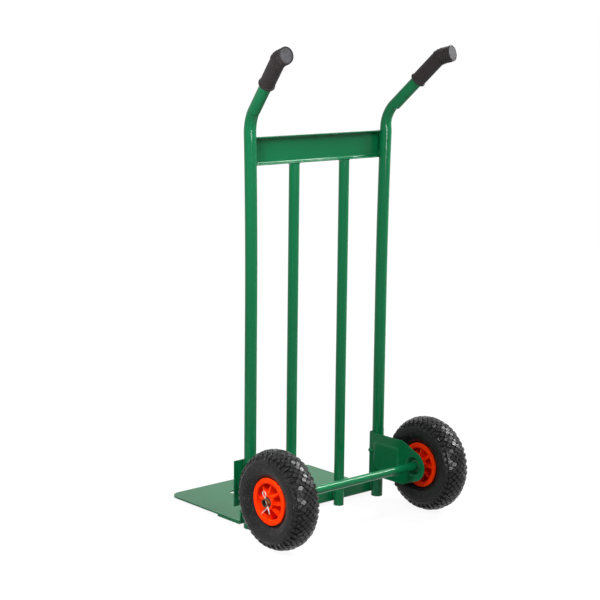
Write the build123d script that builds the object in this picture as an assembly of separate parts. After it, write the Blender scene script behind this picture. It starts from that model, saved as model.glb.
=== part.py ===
from build123d import *
import os
from math import cos, radians, sin, sqrt

os.makedirs("parts", exist_ok=True)

# A two wheeled sack truck, in millimetres. +X is to the right as seen from behind,
# +Y is forwards, the way the toe plate points, and +Z is up from the floor at z = 0.

# Tubes of the frame
upright_od = 32.0
upright_wall = 2.0
upright_spacing = 462.0
rail_od = 28.0
rail_wall = 1.8
rail_spacing = 175.0
foot_height = 9.0

# Above this height the uprights bow slightly outwards, up to the handles
bow_start_height = 600.0
bow_radius = 14000.0

# Handles: the uprights lean back, spread outwards and level out at the tip
bend_start_height = 1039.5
handle_bend_radius = 85.0
handle_angle = 45.5
handle_splay = 12.4
handle_straight = 177.0
tip_bend_radius = 41.0
tip_angle = 76.0
tip_straight = 24.5

# Handle grips
grip_straight = 83.0
grip_od = 40.0
grip_fit = 0.05
grip_end_wall = 4.0
collar_od = 44.0
collar_length = 7.0
end_flange_od = 45.0
end_flange_thickness = 5.0
grip_rib_count = 6
grip_rib_pitch = 6.6
grip_rib_radius = 1.7
grip_rib_sink = 0.5
edge_round = 1.8

# Crossbar: a pressed channel whose web laps the fronts of the uprights
crossbar_bottom = 958.5
crossbar_height = 72.0
crossbar_sheet = 2.5
crossbar_flange_depth = 21.0
crossbar_end_gap = 0.3
crossbar_bend_radius = 4.0

# Toe plate and the angle strip that carries it
toe_plate_width = 496.0
toe_plate_depth = 306.0
toe_plate_thickness = 4.0
toe_corner_radius = 35.0
toe_hole_diameter = 30.0
toe_hole_spacing = 184.0
toe_hole_setback = 98.0
angle_thickness = 5.0
angle_bottom = 16.0
angle_height = 40.0
angle_depth = 98.0
angle_inner_radius = 3.0
toe_plate_gap = 0.3

# Wheel brackets
bracket_sheet = 3.0
bracket_bottom = 70.0
bracket_height = 123.0
bracket_kink = 41.0
bracket_end_radius = 42.0
bracket_corner_radius = 1.5
bracket_flange_overhang = 24.0
bracket_bend_radius = 6.0
panel_length = 100.0
panel_height = 86.0
panel_corner_radius = 14.0
panel_front_offset = 3.0
panel_bottom_offset = 15.5
panel_raise = 3.0
panel_draft = 60.0
boss_radius = 28.0
boss_floor_radius = 18.5
boss_depth = 14.0
dart_width = 8.0
dart_raise = 3.0
dart_draft = 35.0
dart_length = 20.0
dart_bottom_offset = 69.5

# Axle
axle_od = 22.0
axle_wall = 3.0
axle_hole_clearance = 0.1
axle_end_margin = 6.5
washer_od = 36.0
washer_thickness = 3.0
washer_clearance = 0.2
pin_hole_diameter = 5.0
pin_wire = 2.2
pin_tilt = 23.0
pin_eye_width = 11.0
pin_eye_height = 16.0
pin_eye_round = 5.0
pin_straight_leg = 16.0
pin_bent_leg_reach = 27.0
pin_bent_leg_drop = 9.0
pin_bend_radius = 2.0

# Wheels
tyre_diameter = 260.0
tyre_width = 85.0
tyre_widest_radius = 92.0
tyre_gap = 11.0
tread_thickness = 9.0
sidewall_thickness = 6.0
tyre_shoulder_width = 70.0
tyre_shoulder_drop = 12.0
tread_notch_count = 36
tread_notch_width = 7.0
tread_notch_depth = 5.0
tread_notch_length = 20.0
tread_notch_slope = 35.0
tread_notch_inset = 2.0
rim_width = 65.0
rim_lip_diameter = 122.0
rim_lip_width = 6.5
rim_barrel_od = 101.0
rim_barrel_wall = 3.5
rim_web = 6.0
rim_lip_round = 3.0
wheel_rib_count = 8
wheel_rib_thickness = 4.5
wheel_rib_hub_recess = 3.0
wheel_rib_lip_recess = 9.0
hub_od = 38.0
hub_length = 72.0
hub_play = 0.4
bush_od = 28.0
bush_length = 22.0
running_clearance = 0.08
air_tube_gap = 0.4
air_tube_wall = 2.0
bead_width = 7.5
tyre_lip_clearance = 1.0
join_overlap = 1.0

# Valves
valve_offset = 10.0
valve_stem_diameter = 7.4
valve_tip_diameter = 5.0
valve_hole_clearance = 0.3
valve_stem_length = 16.0
valve_tip_length = 9.0
valve_cap_diameter = 8.4
valve_cap_length = 11.0
valve_cap_fit = 0.05

# Weld beads
weld_leg = 4.0
weld_short = 14.0
weld_margin = 4.0

# Places worked out from the sizes above
upright_x = upright_spacing / 2
rail_x = rail_spacing / 2
tyre_radius = tyre_diameter / 2
tyre_shoulder_radius = tyre_radius - tyre_shoulder_drop
bead_outer = rim_width / 2 - rim_lip_width
axle_setback = upright_od / 2 + tyre_gap + tyre_radius
toe_plate_rear = upright_od / 2 + angle_thickness + angle_inner_radius + toe_plate_gap
toe_plate_front = toe_plate_rear + toe_plate_depth

# The origin is on the floor, under the middle of the whole length from tyre to toe plate.
tube_y = (axle_setback + tyre_radius - toe_plate_front) / 2
front_y = tube_y + upright_od / 2
rail_y = front_y - rail_od / 2
axle_y = tube_y - axle_setback
axle_z = tyre_radius
crossbar_top = crossbar_bottom + crossbar_height
toe_plate_bottom = angle_bottom + angle_thickness

# Along the axle, from the bracket outwards
plate_outer_x = upright_x - upright_od / 2
boss_face_x = plate_outer_x + boss_depth
hub_inner_x = boss_face_x + washer_thickness + hub_play
wheel_x = hub_inner_x + hub_length / 2
pin_x = wheel_x + hub_length / 2 + hub_play + pin_hole_diameter / 2
axle_end_x = pin_x + axle_end_margin

nodes = {}


def block(x_range, y_range, z_range):
    """A box between two values on each axis."""
    sizes = [high - low for low, high in (x_range, y_range, z_range)]
    centre = [(high + low) / 2 for low, high in (x_range, y_range, z_range)]
    return Pos(*centre) * Box(*sizes)


def ordered(first, second):
    """Two values as a low and high pair, whichever side of the truck they are on."""
    return (min(first, second), max(first, second))


def along_axle(radius, x_range):
    """A round bar on the axle line."""
    length = x_range[1] - x_range[0]
    return Pos((x_range[0] + x_range[1]) / 2, axle_y, axle_z) * Rot(0, 90, 0) * Cylinder(radius, length)


def bowed_x(height):
    """How far the right upright's centre line is from the middle of the truck, at a height."""
    rise = max(0, height - bow_start_height)
    return upright_x + bow_radius - sqrt(bow_radius**2 - rise**2)


def upright_line(side):
    """Centre line of an upright: up from the foot, bowed outwards, back into the handle, level at the tip."""
    splay = radians(handle_splay)
    backwards = Vector(side * sin(splay), -cos(splay), 0)
    stem = Line((side * upright_x, tube_y, foot_height), (side * upright_x, tube_y, bow_start_height))
    top = (side * bowed_x(bend_start_height), tube_y, bend_start_height)
    bow = TangentArc(stem @ 1, top, tangent=stem % 1)
    across = backwards.cross(bow % 1)
    plane = Plane(bow @ 1, x_dir=(bow % 1).cross(across), z_dir=across)
    bend = JernArc((0, 0), (0, 1), handle_bend_radius, -handle_angle)
    reach = Line(bend @ 1, bend @ 1 + handle_straight * (bend % 1))
    tip_bend = JernArc(reach @ 1, reach % 1, tip_bend_radius, handle_angle - tip_angle)
    tip = Line(tip_bend @ 1, tip_bend @ 1 + tip_straight * (tip_bend % 1))
    handle = [(plane * curve).edge() for curve in (bend, reach, tip_bend, tip)]
    return [stem.edge(), bow.edge(), *handle]


def swept_bar(radius, edges):
    """A round bar of one radius along a chain of lines and arcs."""
    path = Wire(edges)
    return sweep(Plane(path @ 0, z_dir=path % 0) * Circle(radius), path=path)


def upright(side):
    """One bent tube, open at the foot."""
    line = upright_line(side)
    return swept_bar(upright_od / 2, line) - swept_bar(upright_od / 2 - upright_wall, line)


def handle_grip(side):
    """A rubber sleeve over the end of the upright, with a collar, ribs on its tip and an end flange."""
    reach, tip_bend, tip = upright_line(side)[-3:]
    start = reach @ (1 - grip_straight / handle_straight)
    hold = Line(start, reach @ 1)
    far_end = tip @ 1 + grip_end_wall * (tip % 1)
    sleeve = swept_bar(grip_od / 2, [hold, tip_bend, Line(tip @ 0, far_end)])
    collar = Cylinder(collar_od / 2, collar_length)
    collar = fillet(collar.edges().filter_by(GeomType.CIRCLE), edge_round)
    collar_place = Plane(start + (collar_length / 2) * (reach % 1), z_dir=reach % 1)
    flange = Cylinder(end_flange_od / 2, end_flange_thickness)
    flange = fillet(flange.edges().filter_by(GeomType.CIRCLE), edge_round)
    flange_place = Plane(far_end - (end_flange_thickness / 2) * (tip % 1), z_dir=tip % 1)
    grip = sleeve + collar_place * collar + flange_place * flange
    ribbed = Wire([tip_bend, tip])
    across = (reach % 1).cross(tip % 1)
    for index in range(grip_rib_count):
        place = ribbed.length - (index + 1) * grip_rib_pitch
        centre = ribbed.position_at(place, position_mode=PositionMode.LENGTH)
        rib = Torus(grip_od / 2 - grip_rib_sink, grip_rib_radius)
        heading = ribbed.tangent_at(place, position_mode=PositionMode.LENGTH)
        grip += Plane(centre, x_dir=across, z_dir=heading) * rib
    return grip - swept_bar(upright_od / 2 + grip_fit, [hold, tip_bend, tip])


def centre_rail(side):
    """A straight tube from the foot to the underside of the crossbar."""
    height = crossbar_bottom - foot_height
    tube = Cylinder(rail_od / 2, height) - Cylinder(rail_od / 2 - rail_wall, height)
    return Pos(side * rail_x, rail_y, foot_height + height / 2) * tube


def crossbar():
    """A web across the fronts of the uprights, with two flanges that reach back between them."""
    web_x = bowed_x((crossbar_bottom + crossbar_top) / 2)
    web = block((-web_x, web_x), (front_y, front_y + crossbar_sheet), (crossbar_bottom, crossbar_top))
    flange_x = bowed_x(crossbar_bottom) - upright_od / 2 - crossbar_end_gap
    flange_y = (front_y + crossbar_sheet - crossbar_flange_depth, front_y + crossbar_sheet)
    low = block((-flange_x, flange_x), flange_y, (crossbar_bottom, crossbar_bottom + crossbar_sheet))
    high = block((-flange_x, flange_x), flange_y, (crossbar_top - crossbar_sheet, crossbar_top))
    bar = web + low + high
    front_edges = bar.edges().filter_by(Axis.X).group_by(Axis.Y)[-1]
    return fillet(front_edges, crossbar_bend_radius)


def toe_plate():
    """A flat sheet with rounded front corners and a pair of holes."""
    rear = tube_y + toe_plate_rear
    front = tube_y + toe_plate_front
    top = toe_plate_bottom + toe_plate_thickness
    sheet = block((-toe_plate_width / 2, toe_plate_width / 2), (rear, front), (toe_plate_bottom, top))
    sheet = fillet(sheet.edges().filter_by(Axis.Z).group_by(Axis.Y)[-1], toe_corner_radius)
    for side in (-1, 1):
        place = Pos(side * toe_hole_spacing / 2, front - toe_hole_setback, toe_plate_bottom)
        sheet -= place * Cylinder(toe_hole_diameter / 2, 3 * toe_plate_thickness)
    return sheet


def toe_plate_angle():
    """A bent strip: one leg stands against the fronts of the tubes, the other lies under the toe plate."""
    half = toe_plate_width / 2
    across = (-half, half)
    wall = block(across, (front_y, front_y + angle_thickness), (angle_bottom, angle_bottom + angle_height))
    leg = block(across, (front_y, front_y + angle_depth), (angle_bottom, toe_plate_bottom))
    strip = wall + leg
    corner = Vector(0, front_y + angle_thickness, toe_plate_bottom)
    strip = fillet(strip.edges().filter_by(Axis.X).sort_by_distance(corner)[0], angle_inner_radius)
    heel = strip.edges().filter_by(Axis.X).sort_by_distance(Vector(0, front_y, angle_bottom))[0]
    return fillet(heel, angle_inner_radius + angle_thickness)


def bracket_outline():
    """Side view of a bracket: a tall front that narrows to a round end about the axle."""
    top = bracket_bottom + bracket_height
    round_end = Pos(axle_y, axle_z) * Circle(bracket_end_radius)
    corners = Polyline(
        (tube_y, bracket_bottom),
        (tube_y, top),
        (axle_y + bracket_kink, top),
        (axle_y + bracket_kink, bracket_bottom),
        close=True,
    )
    return make_hull([*round_end.edges(), *corners.edges()])


def wheel_bracket():
    """The right bracket: side plate inside the upright, flange in front of it, raised panel, dished boss."""
    top = bracket_bottom + bracket_height
    height_range = (bracket_bottom, top)
    plate_inner = plate_outer_x - bracket_sheet
    plate_range = (plate_inner, plate_outer_x)
    plate = Pos(plate_inner, 0, 0) * extrude(Plane.YZ * bracket_outline(), bracket_sheet)
    neck = block(plate_range, (tube_y, front_y + bracket_sheet), height_range)
    flange_end = upright_x + upright_od / 2 + bracket_flange_overhang
    flange = block((plate_inner, flange_end), (front_y, front_y + bracket_sheet), height_range)
    bend = neck + flange
    middle_z = (bracket_bottom + top) / 2
    inner_corner = Vector(plate_outer_x, front_y, middle_z)
    bend = fillet(bend.edges().filter_by(Axis.Z).sort_by_distance(inner_corner)[0], bracket_bend_radius)
    outer_corner = Vector(plate_inner, front_y + bracket_sheet, middle_z)
    outer_edge = bend.edges().filter_by(Axis.Z).sort_by_distance(outer_corner)[0]
    bend = fillet(outer_edge, bracket_bend_radius + bracket_sheet)
    bend = fillet(bend.edges().filter_by(Axis.Y).sort_by(Axis.X)[-2:], bracket_corner_radius)
    bracket = plate + bend

    # The panel is pressed inwards: raised on the inner face, hollow on the outer face.
    panel_y = tube_y - panel_front_offset - panel_length / 2
    panel_z = bracket_bottom + panel_bottom_offset + panel_height / 2
    face = RectangleRounded(panel_length, panel_height, panel_corner_radius)
    inwards = Plane((0, panel_y, panel_z), x_dir=(0, 1, 0), z_dir=(-1, 0, 0))
    panel = extrude(inwards * face, panel_raise, taper=panel_draft)
    hollow = extrude(inwards * offset(face, -bracket_sheet / 2), panel_raise, taper=panel_draft)
    bracket += Pos(plate_inner, 0, 0) * panel
    bracket -= Pos(plate_outer_x, 0, 0) * hollow

    # The boss is dished outwards round the axle.
    outwards = Plane((boss_depth / 2, axle_y, axle_z), x_dir=(0, 1, 0), z_dir=(1, 0, 0))
    dish = Cone(boss_radius, boss_floor_radius, boss_depth)
    well = Cone(boss_radius - bracket_sheet, boss_floor_radius - bracket_sheet, boss_depth)
    bracket += Pos(plate_outer_x, 0, 0) * (outwards * dish)
    bracket -= Pos(plate_inner, 0, 0) * (outwards * well)
    bracket -= along_axle(axle_od / 2 + axle_hole_clearance, (plate_inner, axle_end_x))

    # A short dart with round ends stiffens the bend.
    dart_y = front_y - bracket_bend_radius - dart_length / 2
    dart_z = bracket_bottom + dart_bottom_offset
    crest = Plane((plate_inner, dart_y, dart_z), x_dir=(0, 1, 0), z_dir=(-1, 0, 0))
    dart = extrude(crest * SlotOverall(dart_length, dart_width), dart_raise, taper=dart_draft)
    return bracket + dart


def pin_place(side):
    """Where a split pin crosses the axle, with its eye leaning forwards."""
    return Pos(side * pin_x, axle_y, axle_z) * Rot(-pin_tilt, 0, 0)


def axle():
    """One tube through both brackets and wheels, cross drilled for a split pin at each end."""
    ends = (-axle_end_x, axle_end_x)
    tube = along_axle(axle_od / 2, ends) - along_axle(axle_od / 2 - axle_wall, ends)
    for side in (-1, 1):
        tube -= pin_place(side) * Cylinder(pin_hole_diameter / 2, 2 * axle_od)
    return tube


def axle_washer(side):
    """A flat ring between the bracket's boss and the hub."""
    faces = ordered(side * boss_face_x, side * (boss_face_x + washer_thickness))
    return along_axle(washer_od / 2, faces) - along_axle(axle_od / 2 + washer_clearance, faces)


def split_pin(side):
    """A wire bent double: an eye above the axle, and below it one straight leg and one bent forwards."""
    leg = pin_hole_diameter / 4
    neck = axle_od / 2 + pin_wire
    eye = pin_eye_width / 2
    middle = neck + pin_eye_height / 2
    top = neck + pin_eye_height
    loop = [(leg, neck), (eye, middle), (eye, top)]
    points = [(leg + pin_bent_leg_reach, -neck - pin_bent_leg_drop), (leg, -neck), *loop]
    points += [(-across, up) for across, up in reversed(loop)]
    points.append((-leg, -neck - pin_straight_leg))
    bends = 3 * [pin_bend_radius] + 2 * [pin_eye_round] + 2 * [pin_bend_radius]
    path = (pin_place(side) * (Plane.YZ * FilletPolyline(*points, radius=bends))).wire()
    return sweep(Plane(path @ 0, z_dir=path % 0) * Circle(pin_wire / 2), path=path)


def tyre_section(bead_side, bead_top, widest, shoulder, crown):
    """A tyre section, axle along X and radius along Y, with arcs that meet at the widest point."""
    seat = rim_barrel_od / 2
    outline = [
        Line((0, seat), (bead_side, seat)),
        Line((bead_side, seat), (bead_side, bead_top)),
        TangentArc(widest, (bead_side, bead_top), tangent=(0, -1)),
        TangentArc(widest, shoulder, tangent=(0, 1)),
        TangentArc((0, crown), shoulder, tangent=(1, 0)),
        Line((0, crown), (0, seat)),
    ]
    half = make_face(outline)
    return half + mirror(half, about=Plane.YZ)


def tyre_outside():
    """The tyre's section, as if it were solid rubber."""
    return tyre_section(
        bead_side=bead_outer,
        bead_top=rim_lip_diameter / 2 + tyre_lip_clearance,
        widest=(tyre_width / 2, tyre_widest_radius),
        shoulder=(tyre_shoulder_width / 2, tyre_shoulder_radius),
        crown=tyre_radius,
    )


def tyre_hollow():
    """The section of the space inside the tyre, above the rim's barrel."""
    return tyre_section(
        bead_side=bead_outer - bead_width,
        bead_top=rim_lip_diameter / 2,
        widest=(tyre_width / 2 - sidewall_thickness, tyre_widest_radius),
        shoulder=(tyre_shoulder_width / 2 - sidewall_thickness, tyre_shoulder_radius - sidewall_thickness),
        crown=tyre_radius - tread_thickness,
    )


def tyre(inner_end):
    """The tyre, with notches cut across both shoulders of the tread, half a step apart."""
    ring = revolve(tyre_outside() - tyre_hollow(), axis=Axis.X)
    notches = []
    for end in (-1, 1):
        place = Pos(end * (tyre_shoulder_width / 2 - tread_notch_inset), 0, tyre_shoulder_radius)
        notch = Box(tread_notch_length, tread_notch_width, 2 * tread_notch_depth)
        notch = place * Rot(0, end * tread_notch_slope, 0) * notch
        for index in range(tread_notch_count):
            share = index + (0.5 if end == inner_end else 0)
            notches.append(Rot(share * 360 / tread_notch_count, 0, 0) * notch)
    return ring - notches


def air_tube():
    """The rubber tube that fills the hollow of the tyre."""
    skin = offset(tyre_hollow(), -air_tube_gap)
    bore = offset(tyre_hollow(), -air_tube_gap - air_tube_wall)
    return revolve(skin - bore, axis=Axis.X)


def rim(inner_end):
    """A one piece rim: hub, web, barrel, two round lips and eight ribs a side. inner_end faces the truck."""
    barrel_radius = rim_barrel_od / 2
    inner_radius = barrel_radius - rim_barrel_wall
    lip_radius = rim_lip_diameter / 2
    root = hub_od / 2 - join_overlap
    tip = inner_radius + join_overlap
    section = Pos(0, (hub_od + bush_od) / 4) * Rectangle(hub_length, (hub_od - bush_od) / 2)
    section += Pos(0, (root + tip) / 2) * Rectangle(rim_web, tip - root)
    barrel = Rectangle(rim_width - rim_lip_width, rim_barrel_wall)
    section += Pos(0, barrel_radius - rim_barrel_wall / 2) * barrel
    for end in (-1, 1):
        lip = RectangleRounded(rim_lip_width, lip_radius - inner_radius, rim_lip_round)
        section += Pos(end * (rim_width - rim_lip_width) / 2, (lip_radius + inner_radius) / 2) * lip
    wheel = revolve(section, axis=Axis.X)
    hub_side = hub_length / 2 - wheel_rib_hub_recess
    lip_side = rim_width / 2 - wheel_rib_lip_recess
    for end in (-1, 1):
        outline = Polyline((0, root), (end * hub_side, root), (end * lip_side, tip), (0, tip), close=True)
        rib = Rot(90, 0, 0) * extrude(make_face(outline), wheel_rib_thickness / 2, both=True)
        for index in range(wheel_rib_count):
            wheel += Rot(index * 360 / wheel_rib_count, 0, 0) * rib
    hole = Cylinder(valve_stem_diameter / 2 + valve_hole_clearance, 2 * valve_stem_length)
    return wheel - valve_place(inner_end) * hole


def valve_place(inner_end):
    """Where the valve comes through the barrel: between two ribs, on the side that faces the truck."""
    turn = Rot((0.5 + wheel_rib_count / 2) * 360 / wheel_rib_count, 0, 0)
    return turn * Pos(inner_end * valve_offset, 0, rim_barrel_od / 2)


def valve_stem(inner_end):
    """A stem from the air tube's skin through the barrel, stepped down at its tip."""
    body = Cylinder(valve_stem_diameter / 2, 2 * valve_stem_length)
    tip_z = -valve_stem_length - valve_tip_length / 2
    tip = Pos(0, 0, tip_z) * Cylinder(valve_tip_diameter / 2, valve_tip_length)
    inside_air_tube = Rot(0, 90, 0) * Cylinder(rim_barrel_od / 2 + air_tube_gap, rim_width)
    return (valve_place(inner_end) * (body + tip)) & inside_air_tube


def valve_cap(inner_end):
    """A cap over the valve's tip."""
    depth = valve_tip_length
    cap = Cylinder(valve_cap_diameter / 2, valve_cap_length)
    bore_z = (valve_cap_length - depth) / 2
    cap -= Pos(0, 0, bore_z) * Cylinder(valve_tip_diameter / 2 + valve_cap_fit, depth)
    cap_z = -valve_stem_length - valve_cap_length / 2
    return valve_place(inner_end) * Pos(0, 0, cap_z) * cap


def hub_bushes():
    """Two bushes, one in each end of the hub."""
    bushes = []
    for end in (-1, 1):
        bush = Cylinder(bush_od / 2, bush_length) - Cylinder(axle_od / 2 + running_clearance, bush_length)
        bushes.append(Pos(end * (hub_length - bush_length) / 2, 0, 0) * Rot(0, 90, 0) * bush)
    return bushes


def wedge_weld(tube, tube_x, radius, direction, z_range):
    """A bead in the wedge between a tube and the flat face that touches its front, as deep as a weld leg."""
    near = tube_x + direction * weld_leg
    far = tube_x + direction * sqrt(radius**2 - (radius - weld_leg) ** 2)
    return block(ordered(near, far), (front_y - weld_leg, front_y), z_range) - tube


def upright_weld(side, direction, z_range):
    """A wedge bead beside an upright."""
    tube = swept_bar(upright_od / 2, upright_line(side)[:2])
    tube_x = side * bowed_x((z_range[0] + z_range[1]) / 2)
    return wedge_weld(tube, tube_x, upright_od / 2, side * direction, z_range)


def rail_weld(side, direction, z_range):
    """A wedge bead beside a centre rail."""
    tube = Pos(side * rail_x, rail_y, crossbar_bottom / 2) * Cylinder(rail_od / 2, crossbar_bottom)
    return wedge_weld(tube, side * rail_x, rail_od / 2, side * direction, z_range)


def ring_weld(radius):
    """A fillet bead round a tube, with its flat side up at z = 0."""
    section = Polyline((radius, 0), (radius + weld_leg, 0), (radius, -weld_leg), close=True)
    return revolve(make_face(Plane.XZ * section), axis=Axis.Z)


def end_spans(low, high):
    """Two short spans of weld, near the low and the high end of a seam."""
    return [
        (low + weld_margin, low + weld_margin + weld_short),
        (high - weld_margin - weld_short, high - weld_margin),
    ]


def crossbar_welds():
    """Short beads behind the web, on the inner side of each upright."""
    spans = end_spans(crossbar_bottom, crossbar_top)
    return [upright_weld(side, -1, span) for side in (-1, 1) for span in spans]


def bracket_welds():
    """Short beads behind each bracket's flange, on the outer side of the upright."""
    spans = end_spans(bracket_bottom, bracket_bottom + bracket_height)
    return [upright_weld(side, 1, span) for side in (-1, 1) for span in spans]


def toe_angle_welds():
    """Upright beads on both sides of each tube, behind the toe plate angle."""
    low = angle_bottom + angle_thickness + angle_inner_radius + weld_margin / 2
    span = (low, angle_bottom + angle_height - weld_margin)
    ways = [(side, direction) for side in (-1, 1) for direction in (-1, 1)]
    return [weld(*way, span) for weld in (upright_weld, rail_weld) for way in ways]


def rail_welds():
    """A bead round the top of each rail, where the crossbar covers it."""
    rear = front_y + crossbar_sheet - crossbar_flange_depth
    covered = block((-upright_x, upright_x), (rear, front_y), (crossbar_bottom - weld_leg, crossbar_bottom))
    rings = [Pos(side * rail_x, rail_y, crossbar_bottom) * ring_weld(rail_od / 2) for side in (-1, 1)]
    return [ring & covered for ring in rings]


def axle_welds():
    """A bead round the axle inside each bracket's dished boss."""
    floor_x = boss_face_x - bracket_sheet
    beads = []
    for side in (-1, 1):
        place = Plane((side * floor_x, axle_y, axle_z), x_dir=(0, 1, 0), z_dir=(side, 0, 0))
        beads.append(place * ring_weld(axle_od / 2))
    return beads


def solids_of(shape):
    """Every solid of a shape, or of a list of shapes."""
    shapes = shape if isinstance(shape, list) else [shape]
    return [solid for item in shapes for solid in item.solids()]


nodes["crossbar"] = crossbar()
nodes["toe_plate"] = toe_plate()
nodes["toe_plate_angle"] = toe_plate_angle()
nodes["axle_tube"] = axle()
nodes["right_wheel_bracket"] = wheel_bracket()
nodes["left_wheel_bracket"] = mirror(nodes["right_wheel_bracket"], about=Plane.YZ)
nodes["crossbar_welds"] = crossbar_welds()
nodes["bracket_welds"] = bracket_welds()
nodes["toe_angle_welds"] = toe_angle_welds()
nodes["rail_welds"] = rail_welds()
nodes["axle_welds"] = axle_welds()

for side_name, side in (("left", -1), ("right", 1)):
    nodes[f"{side_name}_upright"] = upright(side)
    nodes[f"{side_name}_handle_grip"] = handle_grip(side)
    nodes[f"{side_name}_centre_rail"] = centre_rail(side)
    nodes[f"{side_name}_axle_washer"] = axle_washer(side)
    nodes[f"{side_name}_split_pin"] = split_pin(side)
    wheel_pieces = {
        "tyre": tyre(-side),
        "air_tube": air_tube(),
        "rim": rim(-side),
        "hub_bushes": hub_bushes(),
        "valve_stem": valve_stem(-side),
        "valve_cap": valve_cap(-side),
    }
    place = Pos(side * wheel_x, axle_y, axle_z)
    for piece_name, piece in wheel_pieces.items():
        nodes[f"{side_name}_{piece_name}"] = [place * solid for solid in solids_of(piece)]

for name, shape in nodes.items():
    export_step(Compound(children=solids_of(shape)), f"parts/{name}.step")
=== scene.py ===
from math import asin, cos, radians, sin, tau

import bmesh
import bpy
import numpy as np
from mathutils import Matrix, Vector


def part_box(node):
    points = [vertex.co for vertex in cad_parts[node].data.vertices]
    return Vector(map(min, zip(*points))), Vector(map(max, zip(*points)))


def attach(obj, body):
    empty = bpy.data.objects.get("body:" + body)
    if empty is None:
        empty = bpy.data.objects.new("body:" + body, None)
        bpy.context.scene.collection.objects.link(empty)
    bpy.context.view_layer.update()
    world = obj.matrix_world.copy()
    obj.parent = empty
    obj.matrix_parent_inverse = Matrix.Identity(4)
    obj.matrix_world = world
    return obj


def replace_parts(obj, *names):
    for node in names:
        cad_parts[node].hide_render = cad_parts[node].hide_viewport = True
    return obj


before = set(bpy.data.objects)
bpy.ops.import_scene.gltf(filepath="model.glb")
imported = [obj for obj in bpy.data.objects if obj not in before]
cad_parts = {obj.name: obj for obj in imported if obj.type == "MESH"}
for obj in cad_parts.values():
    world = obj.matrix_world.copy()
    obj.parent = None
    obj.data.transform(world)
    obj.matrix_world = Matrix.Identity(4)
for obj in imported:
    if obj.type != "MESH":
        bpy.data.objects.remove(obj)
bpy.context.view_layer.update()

# Sizes in metres, read from the frame where it holds them
UPRIGHT_RADIUS = 0.016
UPRIGHT_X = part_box("right_upright")[0].x + UPRIGHT_RADIUS
FRONT_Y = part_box("right_upright")[1].y
TUBE_Y = FRONT_Y - UPRIGHT_RADIUS
RAIL_RADIUS = 0.014
RAIL_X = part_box("right_centre_rail")[0].x + RAIL_RADIUS
TYRE_LOW, TYRE_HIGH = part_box("right_tyre")
TYRE_RADIUS = (TYRE_HIGH.z - TYRE_LOW.z) / 2
AXLE_Y = (TYRE_LOW.y + TYRE_HIGH.y) / 2
AXLE_Z = (TYRE_LOW.z + TYRE_HIGH.z) / 2
AXLE_BORE = 0.0080
WHEEL_X = (TYRE_LOW.x + TYRE_HIGH.x) / 2
TOE_LOW, TOE_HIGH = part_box("toe_plate")
SIDES = {"left": -1, "right": 1}
SHARP_ANGLE = radians(38.0)


class Shade:
    """A number or a colour in a material. Sums and products of Shades add Math nodes."""

    def __init__(self, finish, socket):
        self.finish = finish
        self.socket = socket

    def maths(self, operation, first, second=0.0):
        """A Math node on one or two values."""
        return self.finish.node("ShaderNodeMath", {"operation": operation}, {0: first, 1: second})

    def __add__(self, other):
        return self.maths("ADD", self, other)

    def __radd__(self, other):
        return self.maths("ADD", other, self)

    def __sub__(self, other):
        return self.maths("SUBTRACT", self, other)

    def __rsub__(self, other):
        return self.maths("SUBTRACT", other, self)

    def __mul__(self, other):
        return self.maths("MULTIPLY", self, other)

    def __rmul__(self, other):
        return self.maths("MULTIPLY", other, self)

    def __abs__(self):
        return self.maths("ABSOLUTE", self)

    def or_more(self, other):
        # The grip ends' grey is painted reflection of the bright surround
        """The larger of two."""
        return self.maths("MAXIMUM", self, other)

    def above(self, edge, soft):
        """0 below the edge and 1 above it, over a soft step."""
        ramp = {"interpolation_type": "SMOOTHSTEP"}
        inputs = {"Value": self, "From Min": edge - soft, "From Max": edge + soft}
        return self.finish.node("ShaderNodeMapRange", ramp, inputs)


class Finish:
    """The nodes of a material or of the world: node() adds any node, and surface() feeds the surface
    shader."""

    def __init__(self, owner):
        self.owner = owner
        self.owner.use_nodes = True
        self.tree = self.owner.node_tree

    @property
    def place(self):
        """Object coordinates, in metres."""
        return self.node("ShaderNodeTexCoord", output="Object")

    def node(self, kind, settings=None, inputs=None, output=0):
        """Adds a node with its settings and inputs, and gives one of its outputs."""
        made = self.tree.nodes.new(kind)
        for name, value in (settings or {}).items():
            setattr(made, name, value)
        self.feed(made, inputs or {})
        return Shade(self, made.outputs[output])

    def feed(self, shader, inputs):
        """Sets or links the sockets of a shader that is already there."""
        for name, value in inputs.items():
            if isinstance(value, Shade):
                self.tree.links.new(value.socket, shader.inputs[name])
            else:
                shader.inputs[name].default_value = value

    def noise(self, scale, detail=3.0, rough=0.5, place=None):
        """Cloudy noise, about 0 to 1, at so many features a metre."""
        inputs = {"Vector": place or self.place, "Scale": scale, "Detail": detail, "Roughness": rough}
        return self.node("ShaderNodeTexNoise", {}, inputs)

    def stretched(self, across, along, up):
        """Object coordinates multiplied on each axis, so that a pattern runs long on one of them."""
        return self.node("ShaderNodeMapping", {}, {"Vector": self.place, "Scale": (across, along, up)})

    def axis(self, name):
        """One of the object coordinates, in metres."""
        return self.node("ShaderNodeSeparateXYZ", {}, {0: self.place}, output=name)

    def mix(self, share, first, second):
        """One colour at share 0 and another at share 1, which are inputs 6 and 7 of the node."""
        colours = {"data_type": "RGBA"}
        first, second = [c if isinstance(c, Shade) else (*c, 1.0) for c in (first, second)]
        return self.node("ShaderNodeMix", colours, {0: share, 6: first, 7: second}, output=2)

    def surface(self, colour, rough, height, bump, depth, metallic=0.0, gloss=0.3):
        """Feeds the surface shader: colour, roughness and metallic may vary, and height becomes a bump."""
        relief = {"Strength": bump, "Distance": depth, "Height": height}
        inputs = {"Base Color": colour, "Roughness": rough, "Metallic": metallic}
        inputs["Normal"] = self.node("ShaderNodeBump", {}, relief)
        inputs["Specular IOR Level"] = gloss
        self.feed(self.tree.nodes["Principled BSDF"], inputs)
        return self.owner


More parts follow.
